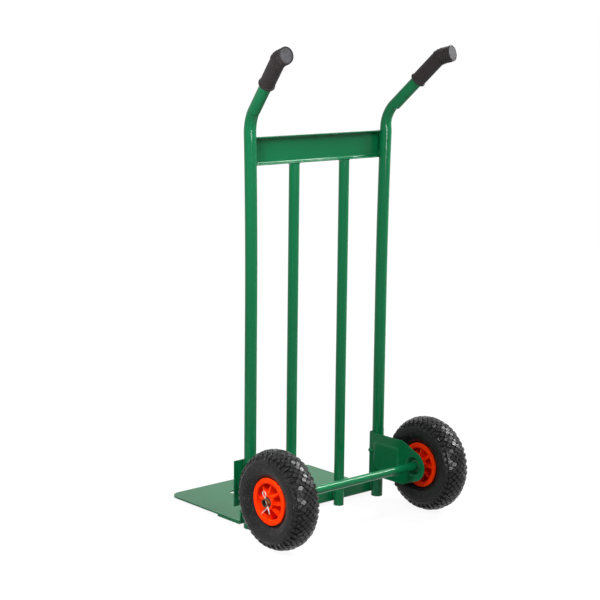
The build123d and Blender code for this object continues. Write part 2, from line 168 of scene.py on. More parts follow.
def new_finish(name):
    """A fresh material to be given a finish."""
    return Finish(bpy.data.materials.new(name))


# Colours of the finishes, as linear red, green and blue
GREEN = (0.0035, 0.150, 0.054)
GREEN_DEEP = (0.0025, 0.122, 0.042)
GREEN_WORN = (0.012, 0.178, 0.080)
RUST_PALE = (0.26, 0.105, 0.042)
RUST_DARK = (0.085, 0.036, 0.016)
# The next colour is the near black inside the axle's bore
BORE_NEAR_BLACK = (0.012, 0.007, 0.005)
ZINC = (0.66, 0.65, 0.62)
ZINC_STAIN = (0.34, 0.31, 0.27)
GRIP_BLACK = (0.0165, 0.0130, 0.0135)
GRIP_WORN = (0.0290, 0.0240, 0.0250)
GRIP_DUST = (0.06, 0.055, 0.055)
# Grip end colours: the grey is painted reflection of the bright surround
END_DARK = (0.044, 0.044, 0.048)
END_REFLECTION_GREY = (0.098, 0.097, 0.105)
END_SPECK = (0.24, 0.24, 0.26)
TYRE_BLACK = (0.0040, 0.0040, 0.0044)
TYRE_BLOOM = (0.0095, 0.0095, 0.0100)
TYRE_DUST = (0.085, 0.083, 0.081)
TREAD_BLACK = (0.005, 0.005, 0.0055)
TREAD_WORN = (0.0115, 0.0115, 0.012)
TREAD_SCUFF = (0.055, 0.054, 0.053)
RIM_DEEP = (0.88, 0.028, 0.0012)
RIM_BRIGHT = (0.96, 0.038, 0.0016)
RIM_RUBBED = (0.95, 0.12, 0.03)
NYLON_BLACK = (0.012, 0.012, 0.013)
NYLON_GREY = (0.035, 0.034, 0.034)

# Where the axle's paint ends, and the bore's edge as squares of distances from the axle line
PAINT_END = UPRIGHT_X - 0.005
PAINT_END_SOFT = 0.0015
BORE_EDGE = 1.12 * AXLE_BORE**2
BORE_EDGE_SOFT = 0.06 * AXLE_BORE**2


def green_paint(finish):
    """Gloss green paint: slow drift of tone, fine orange peel, a little dust and a few scuffs."""
    drift = finish.noise(5.0, detail=2.0)
    tall = finish.stretched(1.0, 1.0, 0.2)
    scuff = finish.noise(70.0, detail=6.0, rough=0.7, place=tall).above(0.73, 0.03)
    dust = finish.noise(420.0, detail=2.0).above(0.74, 0.05)
    colour = finish.mix(drift, GREEN_DEEP, GREEN)
    colour = finish.mix(scuff * 0.25 + dust * 0.1, colour, GREEN_WORN)
    rough = 0.07 + finish.noise(26.0, detail=4.0) * 0.09 + scuff * 0.15
    return colour, rough, finish.noise(650.0, detail=2.0) + finish.noise(60.0, detail=1.0) * 0.6


def frame_paint():
    """The paint of the tubes, the crossbar, the toe plate and the brackets."""
    finish = new_finish("green_gloss_paint")
    colour, rough, peel = green_paint(finish)
    return finish.surface(colour, rough, peel, bump=0.012, depth=0.0004, gloss=0.13)


def weld_paint():
    """Paint over a weld bead: the same green, with a rougher skin and spatter."""
    finish = new_finish("green_paint_on_welds")
    colour, rough, peel = green_paint(finish)
    spatter = finish.noise(900.0, detail=3.0)
    height = peel + spatter * 2.0
    return finish.surface(colour, rough * 0.6, height, bump=0.3, depth=0.0007, gloss=0.5)


def axle_paint():
    """Green paint between the brackets, rusty bare steel outside them, and near black inside the bore."""
    finish = new_finish("axle_paint_and_rust")
    colour, rough, peel = green_paint(finish)
    edge = finish.noise(140.0, detail=3.0) * 0.006
    bare = (abs(finish.axis("X")) + edge).above(PAINT_END, PAINT_END_SOFT)
    blotch = finish.noise(160.0, detail=5.0, rough=0.65)
    rust = finish.mix(blotch.above(0.5, 0.18), RUST_PALE, RUST_DARK)
    pits = finish.noise(1300.0, detail=3.0)
    ahead, up = finish.axis("Y") - AXLE_Y, finish.axis("Z") - AXLE_Z
    wall = (ahead * ahead + up * up).above(BORE_EDGE, BORE_EDGE_SOFT)
    rust = finish.mix(wall, BORE_NEAR_BLACK, rust)
    return finish.surface(
        finish.mix(bare, colour, rust),
        rough * 0.6 + bare * (0.3 + blotch * 0.2),
        peel * 0.05 + pits * bare,
        bump=0.2,
        depth=0.0006,
        metallic=bare * wall * 0.45,
        gloss=0.14,
    )


def zinc_steel():
    """Dull zinc plate on the split pins and washers, with fine draw lines and small stains."""
    finish = new_finish("dull_zinc")
    stain = finish.noise(300.0, detail=4.0).above(0.6, 0.12)
    lines = finish.noise(1500.0, detail=2.0, place=finish.stretched(0.2, 1.0, 1.0))
    colour = finish.mix(stain, ZINC, ZINC_STAIN)
    rough = 0.26 + lines * 0.2 + stain * 0.2
    return finish.surface(colour, rough, lines, bump=0.12, depth=0.0003, metallic=1.0)


def grip_rubber():
    """Soft black grip: faint brown tint, handling sheen in patches and a fine pebbled skin."""
    finish = new_finish("black_grip_rubber")
    patch = finish.noise(40.0, detail=4.0)
    dust = finish.noise(800.0, detail=2.0).above(0.66, 0.06)
    colour = finish.mix(patch, GRIP_BLACK, GRIP_WORN)
    colour = finish.mix(dust * 0.25, colour, GRIP_DUST)
    pebble = finish.node("ShaderNodeTexVoronoi", {}, {"Vector": finish.place, "Scale": 1100.0})
    rough = 0.45 + patch * 0.2
    return finish.surface(colour, rough, pebble, bump=0.14, depth=0.0004, gloss=0.15)


def grip_end_painted_reflection():
    """The end face of a grip: a cloudy grey over the black, painted reflection of the bright surround, and
    pale specks.
    """
    finish = new_finish("painted_reflection_grip_end")
    cloud = finish.noise(130.0, detail=5.0, rough=0.65)
    speck = finish.noise(900.0, detail=3.0).above(0.6, 0.08)
    # Painted reflection: the cloudy grey stands for the bright surround mirrored in the end face
    colour = finish.mix(cloud.above(0.5, 0.3), END_DARK, END_REFLECTION_GREY)
    colour = finish.mix(speck * 0.1, colour, END_SPECK)
    rough = 0.5 + cloud * 0.25
    height = cloud + speck * 0.3
    return finish.surface(colour, rough, height, bump=0.03, depth=0.0005, gloss=0.06)


def tyre_rubber():
    """Black tyre rubber: a dry bloom on the flanks, mould grain, and dust in small specks."""
    finish = new_finish("black_tyre_rubber")
    bloom = finish.noise(22.0, detail=4.0)
    grain = finish.noise(1400.0, detail=2.0)
    dust = finish.noise(270.0, detail=3.0).above(0.635, 0.025)
    colour = finish.mix(bloom, TYRE_BLACK, TYRE_BLOOM)
    colour = finish.mix(dust * 0.7, colour, TYRE_DUST)
    rough = 0.3 + bloom * 0.18
    height = grain + bloom * 0.5
    return finish.surface(colour, rough, height, bump=0.1, depth=0.0004, gloss=0.17)


def tread_rubber():
    """The rubber of the tread blocks: smoother than the flanks, so that single blocks glint."""
    finish = new_finish("black_tread_rubber")
    wear = finish.noise(140.0, detail=4.0)
    scuff = finish.noise(700.0, detail=3.0).above(0.62, 0.08)
    colour = finish.mix(wear, TREAD_BLACK, TREAD_WORN)
    colour = finish.mix(scuff * 0.3, colour, TREAD_SCUFF)
    rough = 0.15 + wear * 0.27
    height = wear + scuff * 0.3
    return finish.surface(colour, rough, height, bump=0.4, depth=0.0009, gloss=0.22)


def rim_plastic():
    """Orange red moulded plastic: faint flow marks, a fine spark grain and rubbed high spots."""
    finish = new_finish("orange_red_plastic")
    flow = finish.noise(18.0, detail=3.0, place=finish.stretched(2.0, 1.0, 1.0))
    grain = finish.noise(1100.0, detail=2.0)
    rub = finish.noise(160.0, detail=5.0).above(0.66, 0.05)
    colour = finish.mix(flow, RIM_DEEP, RIM_BRIGHT)
    colour = finish.mix(rub * 0.2, colour, RIM_RUBBED)
    return finish.surface(colour, 0.3 + flow * 0.15, grain, bump=0.06, depth=0.0004, gloss=0.02)


def dark_plastic():
    """Black nylon and rubber of the bushes, valves and air tubes."""
    finish = new_finish("black_nylon")
    cloud = finish.noise(120.0, detail=3.0)
    colour = finish.mix(cloud, NYLON_BLACK, NYLON_GREY)
    rough = 0.4 + cloud * 0.2
    return finish.surface(colour, rough, finish.noise(1500.0), bump=0.1, depth=0.0003, gloss=0.15)


def dress(node, material):
    """Gives a node of the frame its finish."""
    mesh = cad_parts[node].data
    mesh.materials.clear()
    mesh.materials.append(material)


def mesh_piece(name, points, faces, material, body, smooth=True):
    """Makes one piece from points and faces, at the origin, turns its faces outwards, and lets it ride on
    a body."""
    mesh = bpy.data.meshes.new(name)
    mesh.from_pydata(np.asarray(points).reshape(-1, 3).tolist(), [], faces)
    shells = bmesh.new()
    shells.from_mesh(mesh)
    bmesh.ops.recalc_face_normals(shells, faces=shells.faces)
    shells.to_mesh(mesh)
    shells.free()
    mesh.polygons.foreach_set("use_smooth", np.full(len(mesh.polygons), smooth))
    mesh.materials.append(material)
    mesh.update()
    mesh.set_sharp_from_angle(angle=SHARP_ANGLE)
    piece = bpy.data.objects.new(name, mesh)
    bpy.context.scene.collection.objects.link(piece)
    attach(piece, body)
    return piece


def in_space(x, y, z):
    """Points from arrays of their coordinates."""
    return np.stack(np.broadcast_arrays(x, y, z), axis=-1)


def full_circle(steps):
    """Angles once round a circle, from 0."""
    return np.arange(steps) * (tau / steps)


def grid_faces(rows, columns, wrap_rows=False, first=0):
    """Quads of a grid of points whose rows are closed rings. The last row may join the first."""
    row = np.arange(rows if wrap_rows else rows - 1)[:, None]
    column = np.arange(columns)[None, :]
    next_row = (row + 1) % rows
    next_column = (column + 1) % columns
    corners = [row * columns + column, next_row * columns + column]
    corners += [next_row * columns + next_column, row * columns + next_column]
    return (np.stack(corners, axis=-1).reshape(-1, 4) + first).tolist()


def capped_faces(rows, columns, first=0):
    """Quads of a grid of points whose rows are closed rings, and a cap on its first and last row."""
    last = first + (rows - 1) * columns
    caps = [list(range(start, start + columns)) for start in (first, last)]
    return grid_faces(rows, columns, first=first) + caps


# Tyres: how far across from the middle and how far out from the axle each point of the outline lies
TYRE_HALF_WIDTH = (TYRE_HIGH.x - TYRE_LOW.x) / 2
TYRE_WIDEST = (TYRE_HALF_WIDTH, 0.092)
TYRE_SHOULDER = (0.035, TYRE_RADIUS - 0.012)
TYRE_BEAD = (0.026, 0.062)
TYRE_SEAT = 0.0505
TREAD_THICKNESS = 0.009
SIDEWALL_THICKNESS = 0.006
BEAD_WIDTH = 0.0075
CARCASS_INSET = 0.0003
CARCASS_ROWS = 84
GROOVE_DEPTH = 0.0050
TREAD_EDGE = 0.0505
GROOVE_RAMP = (TREAD_EDGE - 0.009, TREAD_EDGE + 0.003)
BLOCK_COUNT = 44
BLOCK_BEVEL = 0.0009
BLOCK_ROOT = 0.001
BLOCK_FLARE = 1.12
BLOCK_TILT = 0.22
BLOCK_RISE = 0.0004
BLOCK_WEAR = (0.0004, 0.0014)
TREAD_SEED = 4
TYRE_STEPS = 176

# Rings moulded on a tyre's flanks: distance from the middle of the tread, height and half width
FLANK_RINGS = [(0.0560, 0.0015, 0.0009), (0.0870, 0.0004, 0.0012)]


def arc_from_widest(widest, end, count):
    """Points on the arc that leaves the widest point straight outwards or inwards and stops at an end
    point."""
    inset = widest[0] - end[0]
    rise = end[1] - widest[1]
    radius = (inset**2 + rise**2) / (2 * inset)
    turn = np.linspace(0.0, np.arcsin(rise / radius), count)
    across = widest[0] - radius * (1 - np.cos(turn))
    return np.stack([across, widest[1] + radius * np.sin(turn)], axis=-1)


def crown_arc(crown, shoulder, count):
    """Points on the arc from the middle of the tread to the shoulder."""
    drop = crown - shoulder[1]
    radius = (shoulder[0] ** 2 + drop**2) / (2 * drop)
    turn = np.linspace(0.0, np.arcsin(shoulder[0] / radius), count)
    return np.stack([radius * np.sin(turn), crown - radius * (1 - np.cos(turn))], axis=-1)


def half_outline(crown, shoulder, widest, bead, count=60):
    """Half a tyre's outline: over the crown, round the shoulder and down the sidewall to the bead."""
    top = crown_arc(crown, shoulder, count)
    flank = arc_from_widest(widest, shoulder, count)[::-1]
    sidewall = arc_from_widest(widest, bead, count)
    return np.concatenate([top, flank[1:], sidewall[1:]])


OUTSIDE = half_outline(TYRE_RADIUS, TYRE_SHOULDER, TYRE_WIDEST, TYRE_BEAD)
OUTSIDE_LENGTH = np.concatenate([[0.0], np.cumsum(np.hypot(*np.diff(OUTSIDE, axis=0).T))])
NORMAL_STEP = 0.003


def smooth_step(value, low, high):
    """0 below low, 1 above high, and a smooth S between."""
    share = np.clip((value - low) / (high - low), 0.0, 1.0)
    return share * share * (3 - 2 * share)


def on_outline(distance):
    """The point of the tyre's outline at a distance from the middle of the tread."""
    return np.stack([np.interp(distance, OUTSIDE_LENGTH, OUTSIDE[:, k]) for k in (0, 1)], axis=-1)


def off_outline(distance, lift):
    """A point lifted off the tyre's outline, square to it; a negative distance is on the other flank."""
    side = np.where(distance < 0, -1.0, 1.0)
    reach = np.abs(distance)
    slope = on_outline(reach + NORMAL_STEP) - on_outline(np.maximum(reach - NORMAL_STEP, 0.0))
    slope /= np.linalg.norm(slope, axis=-1, keepdims=True)
    point = on_outline(reach)
    return side * (point[..., 0] - lift * slope[..., 1]), point[..., 1] + lift * slope[..., 0]


def about_axle(across, out, turn, wheel_x):
    """Points from a place across the wheel, a distance from the axle and an angle round it."""
    return in_space(wheel_x + across, AXLE_Y + out * np.cos(turn), AXLE_Z + out * np.sin(turn))


def tyre_carcass(side, material):
    """The tyre under its blocks: the outline, sunk by the groove depth under the tread and raised in two
    thin rings on each flank, turned about the axle and closed by the hollow for the air tube."""
    reach = np.linspace(0.0, OUTSIDE_LENGTH[-1] - NORMAL_STEP, CARCASS_ROWS)
    lift = -CARCASS_INSET - GROOVE_DEPTH * (1 - smooth_step(reach, *GROOVE_RAMP))
    for place, height, width in FLANK_RINGS:
        lift += height * np.exp(-(((reach - place) / width) ** 2))
    half = np.stack(off_outline(reach, lift), axis=-1)
    seat = [(TYRE_BEAD[0], TYRE_SEAT), (TYRE_BEAD[0] - BEAD_WIDTH, TYRE_SEAT)]
    half = np.concatenate([half, [TYRE_BEAD], seat])
    hollow = half_outline(
        TYRE_RADIUS - TREAD_THICKNESS,
        (TYRE_SHOULDER[0] - SIDEWALL_THICKNESS, TYRE_SHOULDER[1] - SIDEWALL_THICKNESS),
        (TYRE_WIDEST[0] - SIDEWALL_THICKNESS, TYRE_WIDEST[1]),
        (TYRE_BEAD[0] - BEAD_WIDTH, TYRE_BEAD[1]),
        count=12,
    )
    half = np.concatenate([half, hollow[::-1]])
    outline = np.concatenate([half, half[-2:0:-1] * (-1.0, 1.0)])
    turn = full_circle(TYRE_STEPS)
    points = about_axle(outline[:, None, 0], outline[:, None, 1], turn, SIDES[side] * WHEEL_X)
    faces = grid_faces(len(outline), TYRE_STEPS, wrap_rows=True)
    name = f"{side}_tyre_carcass"
    carcass = mesh_piece(name, points, faces, material, f"{side}_wheel")
    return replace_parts(carcass, f"{side}_tyre")


# Outlines of the tread blocks, across and round the tyre
DIAMOND = [(-0.0074, -0.0016), (-0.0024, -0.0066), (0.0024, -0.0066), (0.0074, -0.0016)]
DIAMOND += [(0.0074, 0.0016), (0.0024, 0.0066), (-0.0024, 0.0066), (-0.0074, 0.0016)]
SHOULDER_BLOCK = [(-0.0066, -0.0014), (-0.0022, -0.0052), (0.0066, -0.0050), (0.0066, 0.0050)]
SHOULDER_BLOCK += [(-0.0022, 0.0052), (-0.0066, 0.0014)]
LONG_LUG = [(-0.0050, -0.0050), (0.0082, -0.0036), (0.0082, 0.0036), (-0.0050, 0.0050)]
SHORT_LUG = [(-0.0050, -0.0050), (0.0036, -0.0042), (0.0036, 0.0042), (-0.0050, 0.0050)]
# Rings of blocks on each flank: outline, distance from the middle, first step round and steps between
TREAD_ROWS = [
    (DIAMOND, 0.0046, 0.0, 1),
    (DIAMOND, 0.0136, 0.5, 1),
    (DIAMOND, 0.0226, 0.0, 1),
    (SHOULDER_BLOCK, 0.0326, 0.5, 1),
    (LONG_LUG, 0.0452, 0.5, 2),
    (SHORT_LUG, 0.0452, 1.5, 2),
]


def tread_row(shape, place, start, every, flank, chance):
    """One ring of blocks: each is an outline drawn on the tread, narrowed a little at its top edge and
    carried down into the carcass, with a slight tilt of its own."""
    # A mirrored outline runs the other way round, so one flank's points are taken in reverse
    outline = np.array(shape)[::-flank] * (flank, 1.0)
    first = start + (0.0 if flank > 0 else 0.5)
    turn = (np.arange(0, BLOCK_COUNT, every) + first) * (tau / BLOCK_COUNT)
    size = np.abs(outline).max()
    rings = np.stack([outline * BLOCK_FLARE, outline, outline * (1 - BLOCK_BEVEL / size)])
    lift = np.array([-GROOVE_DEPTH - BLOCK_ROOT, -BLOCK_BEVEL, 0.0])[None, :, None]
    tilt = chance.uniform(-BLOCK_TILT, BLOCK_TILT, (len(turn), 1, 1, 2))
    lean = np.clip((rings * tilt).sum(axis=-1), None, BLOCK_RISE)
    wear = chance.uniform(*BLOCK_WEAR, (len(turn), 1, 1))
    across = flank * place + rings[None, ..., 0] + 0 * turn[:, None, None]
    angle = turn[:, None, None] + rings[None, ..., 1] / TYRE_RADIUS
    return across, angle, lift + (lean - wear)


def tread_blocks(side, material):
    """Every block of the tread as one piece: the rings of each block's points are joined by walls, with a
    cap above and below."""
    chance = np.random.default_rng(TREAD_SEED)
    points = []
    faces = []
    first = 0
    for shape, place, start, every in TREAD_ROWS:
        for flank in (-1, 1):
            across, angle, lift = tread_row(shape, place, start, every, flank, chance)
            u, out = off_outline(across, lift)
            points.append(about_axle(u, out, angle, SIDES[side] * WHEEL_X).reshape(-1, 3))
            blocks, rings, corners = across.shape
            index = np.arange(blocks * rings * corners).reshape(across.shape) + first
            ahead = np.roll(index, -1, axis=2)
            walls = np.stack([index[:, :-1], ahead[:, :-1], ahead[:, 1:], index[:, 1:]], axis=-1)
            faces += walls.reshape(-1, 4).tolist()
            faces += index[:, -1].tolist() + index[:, 0, ::-1].tolist()
            first += index.size
    return mesh_piece(
        f"{side}_tread_blocks",
        np.concatenate(points),
        faces,
        material,
        f"{side}_wheel",
        smooth=False,
    )


# Uprights and handle grips, measured along the upright's line from the floor
FOOT = 0.009
BOW_START = 0.600
BOW_RADIUS = 14.0
BEND_HEIGHT = 1.0395
BOW_TURN = asin((BEND_HEIGHT - BOW_START) / BOW_RADIUS)
HANDLE_BEND = 0.085
HANDLE_ANGLE = radians(45.5)
HANDLE_SPLAY = radians(12.4)
HANDLE_STRAIGHT = 0.177
TIP_BEND = 0.041
TIP_ANGLE = radians(76.0)
TIP_STRAIGHT = 0.0245
BEND_START = BOW_START + BOW_RADIUS * BOW_TURN
BEND_END = BEND_START + HANDLE_BEND * HANDLE_ANGLE
TIP_START = BEND_END + HANDLE_STRAIGHT
TIP_BEND_END = TIP_START + TIP_BEND * (TIP_ANGLE - HANDLE_ANGLE)
UPRIGHT_END = TIP_BEND_END + TIP_STRAIGHT
UPRIGHT_WALL = 0.002
FOOT_EDGE = np.array([[0.0008], [0.0003]])
FOOT_ROWS = [FOOT, FOOT + 0.0003, FOOT + 0.001, 0.3]
UPRIGHT_RUNS = [
    (BOW_START, BEND_START - 0.05, 12),
    (BEND_START - 0.04, BEND_END + 0.02, 100),
    (BEND_END + 0.021, UPRIGHT_END, 60),
]
CRUSH_DEPTH = 0.0042
CRUSH_GROWS = (BEND_START - 0.015, BEND_START + 0.03)
CRUSH_STOPS = (BEND_END - 0.006, BEND_END + 0.001)
CRUSH_SIDE = (0.25, 0.95)
GRIP_STRAIGHT = 0.083
GRIP_START = TIP_START - GRIP_STRAIGHT
GRIP_END_WALL = 0.004
GRIP_END = UPRIGHT_END + GRIP_END_WALL
GRIP_RADIUS = 0.0198
GRIP_BORE = 0.01605
COLLAR_LENGTH = 0.007
COLLAR_RAISE = 0.0021
FLANGE_RADIUS = 0.0224
FLANGE_STEP = (GRIP_END - 0.0065, GRIP_END - 0.0045)
FLANGE_LOW_LOSS = 0.0014
FLANGE_SIDE_LOSS = 0.0022
END_ROUND = 0.0016
END_ROUND_SHARE = 0.035
END_FACE_SHARE = 0.86
POINT_SHARE = 0.02
RIB_COUNT = 6
RIB_PITCH = 0.0066
RIB_HALF_WIDTH = 0.0019
RIB_RAISE = 0.0019
ROUND_STEPS = 96


def bowed_x(height):
    """How far the right upright's centre line is from the middle of the truck: straight, then on a wide
    arc."""
    rise = np.maximum(height - BOW_START, 0.0)
    return UPRIGHT_X + BOW_RADIUS - np.sqrt(BOW_RADIUS**2 - rise**2)


def round_upright(side, along, radius, angle):
    """Points round an upright's line, from a distance along it, a radius and an angle from its front or
    top. The line runs up, outwards on a wide arc, back on an arc, straight, on a third arc and straight
    again."""
    hand = SIDES[side]
    bow = np.clip(along - BOW_START, 0.0, BEND_START - BOW_START) / BOW_RADIUS
    first = np.clip(along - BEND_START, 0.0, BEND_END - BEND_START) / HANDLE_BEND
    straight = np.clip(along - BEND_END, 0.0, HANDLE_STRAIGHT)
    second = HANDLE_ANGLE + np.clip(along - TIP_START, 0.0, TIP_BEND_END - TIP_START) / TIP_BEND
    tip = np.maximum(along - TIP_BEND_END, 0.0)
    lean = np.where(along < TIP_START, first, second)
    back = HANDLE_BEND * (1 - np.cos(first)) + straight * sin(HANDLE_ANGLE)
    back = back + TIP_BEND * (cos(HANDLE_ANGLE) - np.cos(second)) + tip * sin(TIP_ANGLE)
    up = HANDLE_BEND * np.sin(first) + straight * cos(HANDLE_ANGLE)
    up = up + TIP_BEND * (np.sin(second) - sin(HANDLE_ANGLE)) + tip * cos(TIP_ANGLE)
    rise = radius * np.cos(angle)
    upward = in_space(hand * np.sin(bow), 0.0, np.cos(bow))
    across = np.cross((hand * sin(HANDLE_SPLAY), -cos(HANDLE_SPLAY), 0.0), upward)
    across /= np.linalg.norm(across, axis=-1, keepdims=True)
    backward = np.cross(upward, across)
    stem_x = hand * (UPRIGHT_X + BOW_RADIUS * (1 - np.cos(bow)))
    stem = in_space(stem_x, TUBE_Y, np.minimum(along, BOW_START) + BOW_RADIUS * np.sin(bow))
    points = stem + (back - rise * np.cos(lean))[..., None] * backward
    points = points + (up + rise * np.sin(lean))[..., None] * upward
    return points - (hand * radius * np.sin(angle))[..., None] * across


def upright_tube(side, material):
    """The bent tube: round, but crushed a little on the inside of the handle bend, where it steps back out
    to full size; open at the foot with a rounded edge."""
    angle = full_circle(ROUND_STEPS)
    along = np.concatenate([FOOT_ROWS] + [np.linspace(*run) for run in UPRIGHT_RUNS])
    crush = smooth_step(along, *CRUSH_GROWS) * (1 - smooth_step(along, *CRUSH_STOPS))
    inside = smooth_step(-np.cos(angle), *CRUSH_SIDE)
    outer = UPRIGHT_RADIUS - CRUSH_DEPTH * crush[:, None] * inside[None, :]
    outer[:2] -= FOOT_EDGE
    inner = outer[::-1] - UPRIGHT_WALL
    points = round_upright(
        side,
        np.concatenate([along, along[::-1]])[:, None],
        np.concatenate([outer, inner]),
        angle[None, :],
    )
    faces = grid_faces(2 * len(along), ROUND_STEPS, wrap_rows=True)
    tube = mesh_piece(f"{side}_upright_tube", points, faces, material, "frame")
    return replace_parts(tube, f"{side}_upright")


def grip_radius(along, angle):
    """The sleeve's radius: a rolled collar at its start, half round ribs on the tip, and a round edged end
    flange that is fullest at its top and least at its sides."""
    roll = np.clip(1 - (2 * (along - GRIP_START) / COLLAR_LENGTH - 1) ** 2, 0.0, None)
    radius = GRIP_RADIUS + COLLAR_RAISE * np.sqrt(roll) + 0 * angle
    place = (UPRIGHT_END - along) / RIB_PITCH
    nearest = np.clip(np.round(place), 1, RIB_COUNT)
    rib = np.clip(1 - ((place - nearest) * RIB_PITCH / RIB_HALF_WIDTH) ** 2, 0.0, None)
    radius = radius + RIB_RAISE * np.sqrt(rib)
    flange = smooth_step(along, *FLANGE_STEP)
    full = FLANGE_RADIUS - FLANGE_LOW_LOSS * (1 - np.cos(angle)) / 2
    full = full - FLANGE_SIDE_LOSS * np.sin(angle) ** 2
    soft = 1 - END_ROUND_SHARE * smooth_step(along, GRIP_END - END_ROUND, GRIP_END) ** 2
    return (radius + flange * (full - GRIP_RADIUS)) * soft


def grip_sleeve(side, material):
    """The rubber sleeve: back along its bore, out along its skin and over the end."""
    angle = full_circle(ROUND_STEPS)
    along = np.linspace(GRIP_START, GRIP_END, 300)
    skin = grip_radius(along[:, None], angle[None, :])
    bore_along = np.concatenate([[UPRIGHT_END], np.linspace(UPRIGHT_END, GRIP_START, 24)])
    bore = np.full((len(bore_along), ROUND_STEPS), GRIP_BORE)
    bore[0] *= POINT_SHARE
    end_share = np.array([0.9, END_FACE_SHARE, 0.4, POINT_SHARE])
    end_sink = np.array([0.0, 0.0008, 0.0008, 0.0008])
    radius = np.concatenate([bore, skin, skin[-1] * end_share[:, None]])
    along = np.concatenate([bore_along, along, GRIP_END - end_sink])
    points = round_upright(side, along[:, None], radius, angle[None, :])
    faces = capped_faces(len(along), ROUND_STEPS)
    sleeve = mesh_piece(f"{side}_grip_sleeve", points, faces, material, "frame")
    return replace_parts(sleeve, f"{side}_handle_grip")


def grip_end(side, material):
    """The end face, which carries a painted reflection: a thin lens let into the end of the sleeve."""
    angle = full_circle(ROUND_STEPS)
    widening = [POINT_SHARE, 0.3, 0.6, 0.85, 0.97]
    share = np.array(widening + [1.0] + widening[::-1])
    sink = np.array([0.0002, 0.0003, 0.0003, 0.0003, 0.0004, 0.0007] + [0.0012] * 5)
    end_skin = grip_radius(np.array([[GRIP_END]]), angle[None, :])
    radius = END_FACE_SHARE * end_skin * share[:, None]
    points = round_upright(side, GRIP_END - sink[:, None], radius, angle[None, :])
    faces = capped_faces(len(share), ROUND_STEPS)
    return mesh_piece(f"{side}_grip_end", points, faces, material, "frame")


# Bent sheet: the crossbar's channel and the angle behind the toe plate
CROSSBAR_LOW, CROSSBAR_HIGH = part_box("crossbar")
CROSSBAR_SHEET = 0.0025
CROSSBAR_BEND = 0.0095
CROSSBAR_END_GAP = 0.0003
TAB_FRONT_ROUND = 0.8 * CROSSBAR_SHEET
TAB_BACK_ROUND = 0.15 * CROSSBAR_SHEET
ANGLE_LOW, ANGLE_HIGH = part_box("toe_plate_angle")
ANGLE_THICKNESS = 0.005
ANGLE_BEND = 0.003
CUT_EDGE = 0.0002
EDGE_ROUND = 0.0011
CORNER_STEPS = 6


def rounded_outline(corners, radii):
    """A closed outline with each corner swapped for an arc: its two touching points are turned into each
    other about the arc's centre, which lies on the line that halves the corner."""
    corners = np.array(corners)
    radii = np.array(radii)[:, None]
    before = np.roll(corners, 1, axis=0) - corners
    after = np.roll(corners, -1, axis=0) - corners
    before /= np.linalg.norm(before, axis=1, keepdims=True)
    after /= np.linalg.norm(after, axis=1, keepdims=True)
    half = np.arccos(np.clip((before * after).sum(axis=1, keepdims=True), -1.0, 1.0)) / 2
    middle = before + after
    middle /= np.linalg.norm(middle, axis=1, keepdims=True)
    centre = corners + middle * radii / np.sin(half)
    start = corners + before * radii / np.tan(half) - centre
    end = corners + after * radii / np.tan(half) - centre
    turn = tau / 2 - 2 * half[:, None]
    share = np.linspace(0.0, 1.0, CORNER_STEPS + 1)[None, :, None]
    arc = np.sin((1 - share) * turn) * start[:, None] + np.sin(share * turn) * end[:, None]
    return (centre[:, None] + arc / np.sin(turn)).reshape(-1, 2)


def bar_across(outline, low, high, first=0):
    """Points and faces of an outline of y and z carried straight across the truck, with flat ends."""
    points = in_space(np.array([[low], [high]]), outline[None, :, 0], outline[None, :, 1])
    return points.reshape(-1, 3), capped_faces(2, len(outline), first)


def crossbar_channel(material):
    """The crossbar: a web with two flanges bent back from it, and a bare tab of web at each end."""
    front, back = CROSSBAR_HIGH.y, CROSSBAR_LOW.y
    low, high = CROSSBAR_LOW.z, CROSSBAR_HIGH.z
    inner = front - CROSSBAR_SHEET
    corners = [(front, low), (front, high), (back, high), (back, high - CROSSBAR_SHEET)]
    corners += [(inner, high - CROSSBAR_SHEET), (inner, low + CROSSBAR_SHEET)]
    corners += [(back, low + CROSSBAR_SHEET), (back, low)]
    bend = CROSSBAR_BEND
    inside = bend - CROSSBAR_SHEET
    radii = [bend, bend, CUT_EDGE, CUT_EDGE, inside, inside, EDGE_ROUND, EDGE_ROUND]
    channel = rounded_outline(corners, radii)
    tab_corners = [(front, low), (front, high), (inner, high), (inner, low)]
    tab = rounded_outline(tab_corners, [TAB_FRONT_ROUND] * 2 + [TAB_BACK_ROUND] * 2)
    flange_x = bowed_x(low) - UPRIGHT_RADIUS - CROSSBAR_END_GAP
    spans = [(channel, -flange_x, flange_x)]
    spans += [(tab, CROSSBAR_LOW.x, -flange_x), (tab, flange_x, CROSSBAR_HIGH.x)]
    points, faces = [], []
    for outline, start, end in spans:
        bar, bar_faces = bar_across(outline, start, end, first=sum(map(len, points)))
        points.append(bar)
        faces += bar_faces
    points = np.concatenate(points)
    piece = mesh_piece("crossbar_channel", points, faces, material, "frame")
    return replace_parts(piece, "crossbar")


def toe_angle_strip(material):
    """The bent strip that carries the toe plate: one leg up against the tubes and one forwards."""
    back, front = ANGLE_LOW.y, ANGLE_HIGH.y
    low, high = ANGLE_LOW.z, ANGLE_HIGH.z
    wall = ANGLE_THICKNESS
    corners = [(front, low), (front, low + wall), (back + wall, low + wall)]
    corners += [(back + wall, high), (back, high), (back, low)]
    radii = [EDGE_ROUND, EDGE_ROUND, ANGLE_BEND, EDGE_ROUND, 1.5 * EDGE_ROUND, ANGLE_BEND + wall]
    points, faces = bar_across(rounded_outline(corners, radii), ANGLE_LOW.x, ANGLE_HIGH.x)
    piece = mesh_piece("toe_angle_strip", points, faces, material, "frame")
    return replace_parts(piece, "toe_plate_angle")


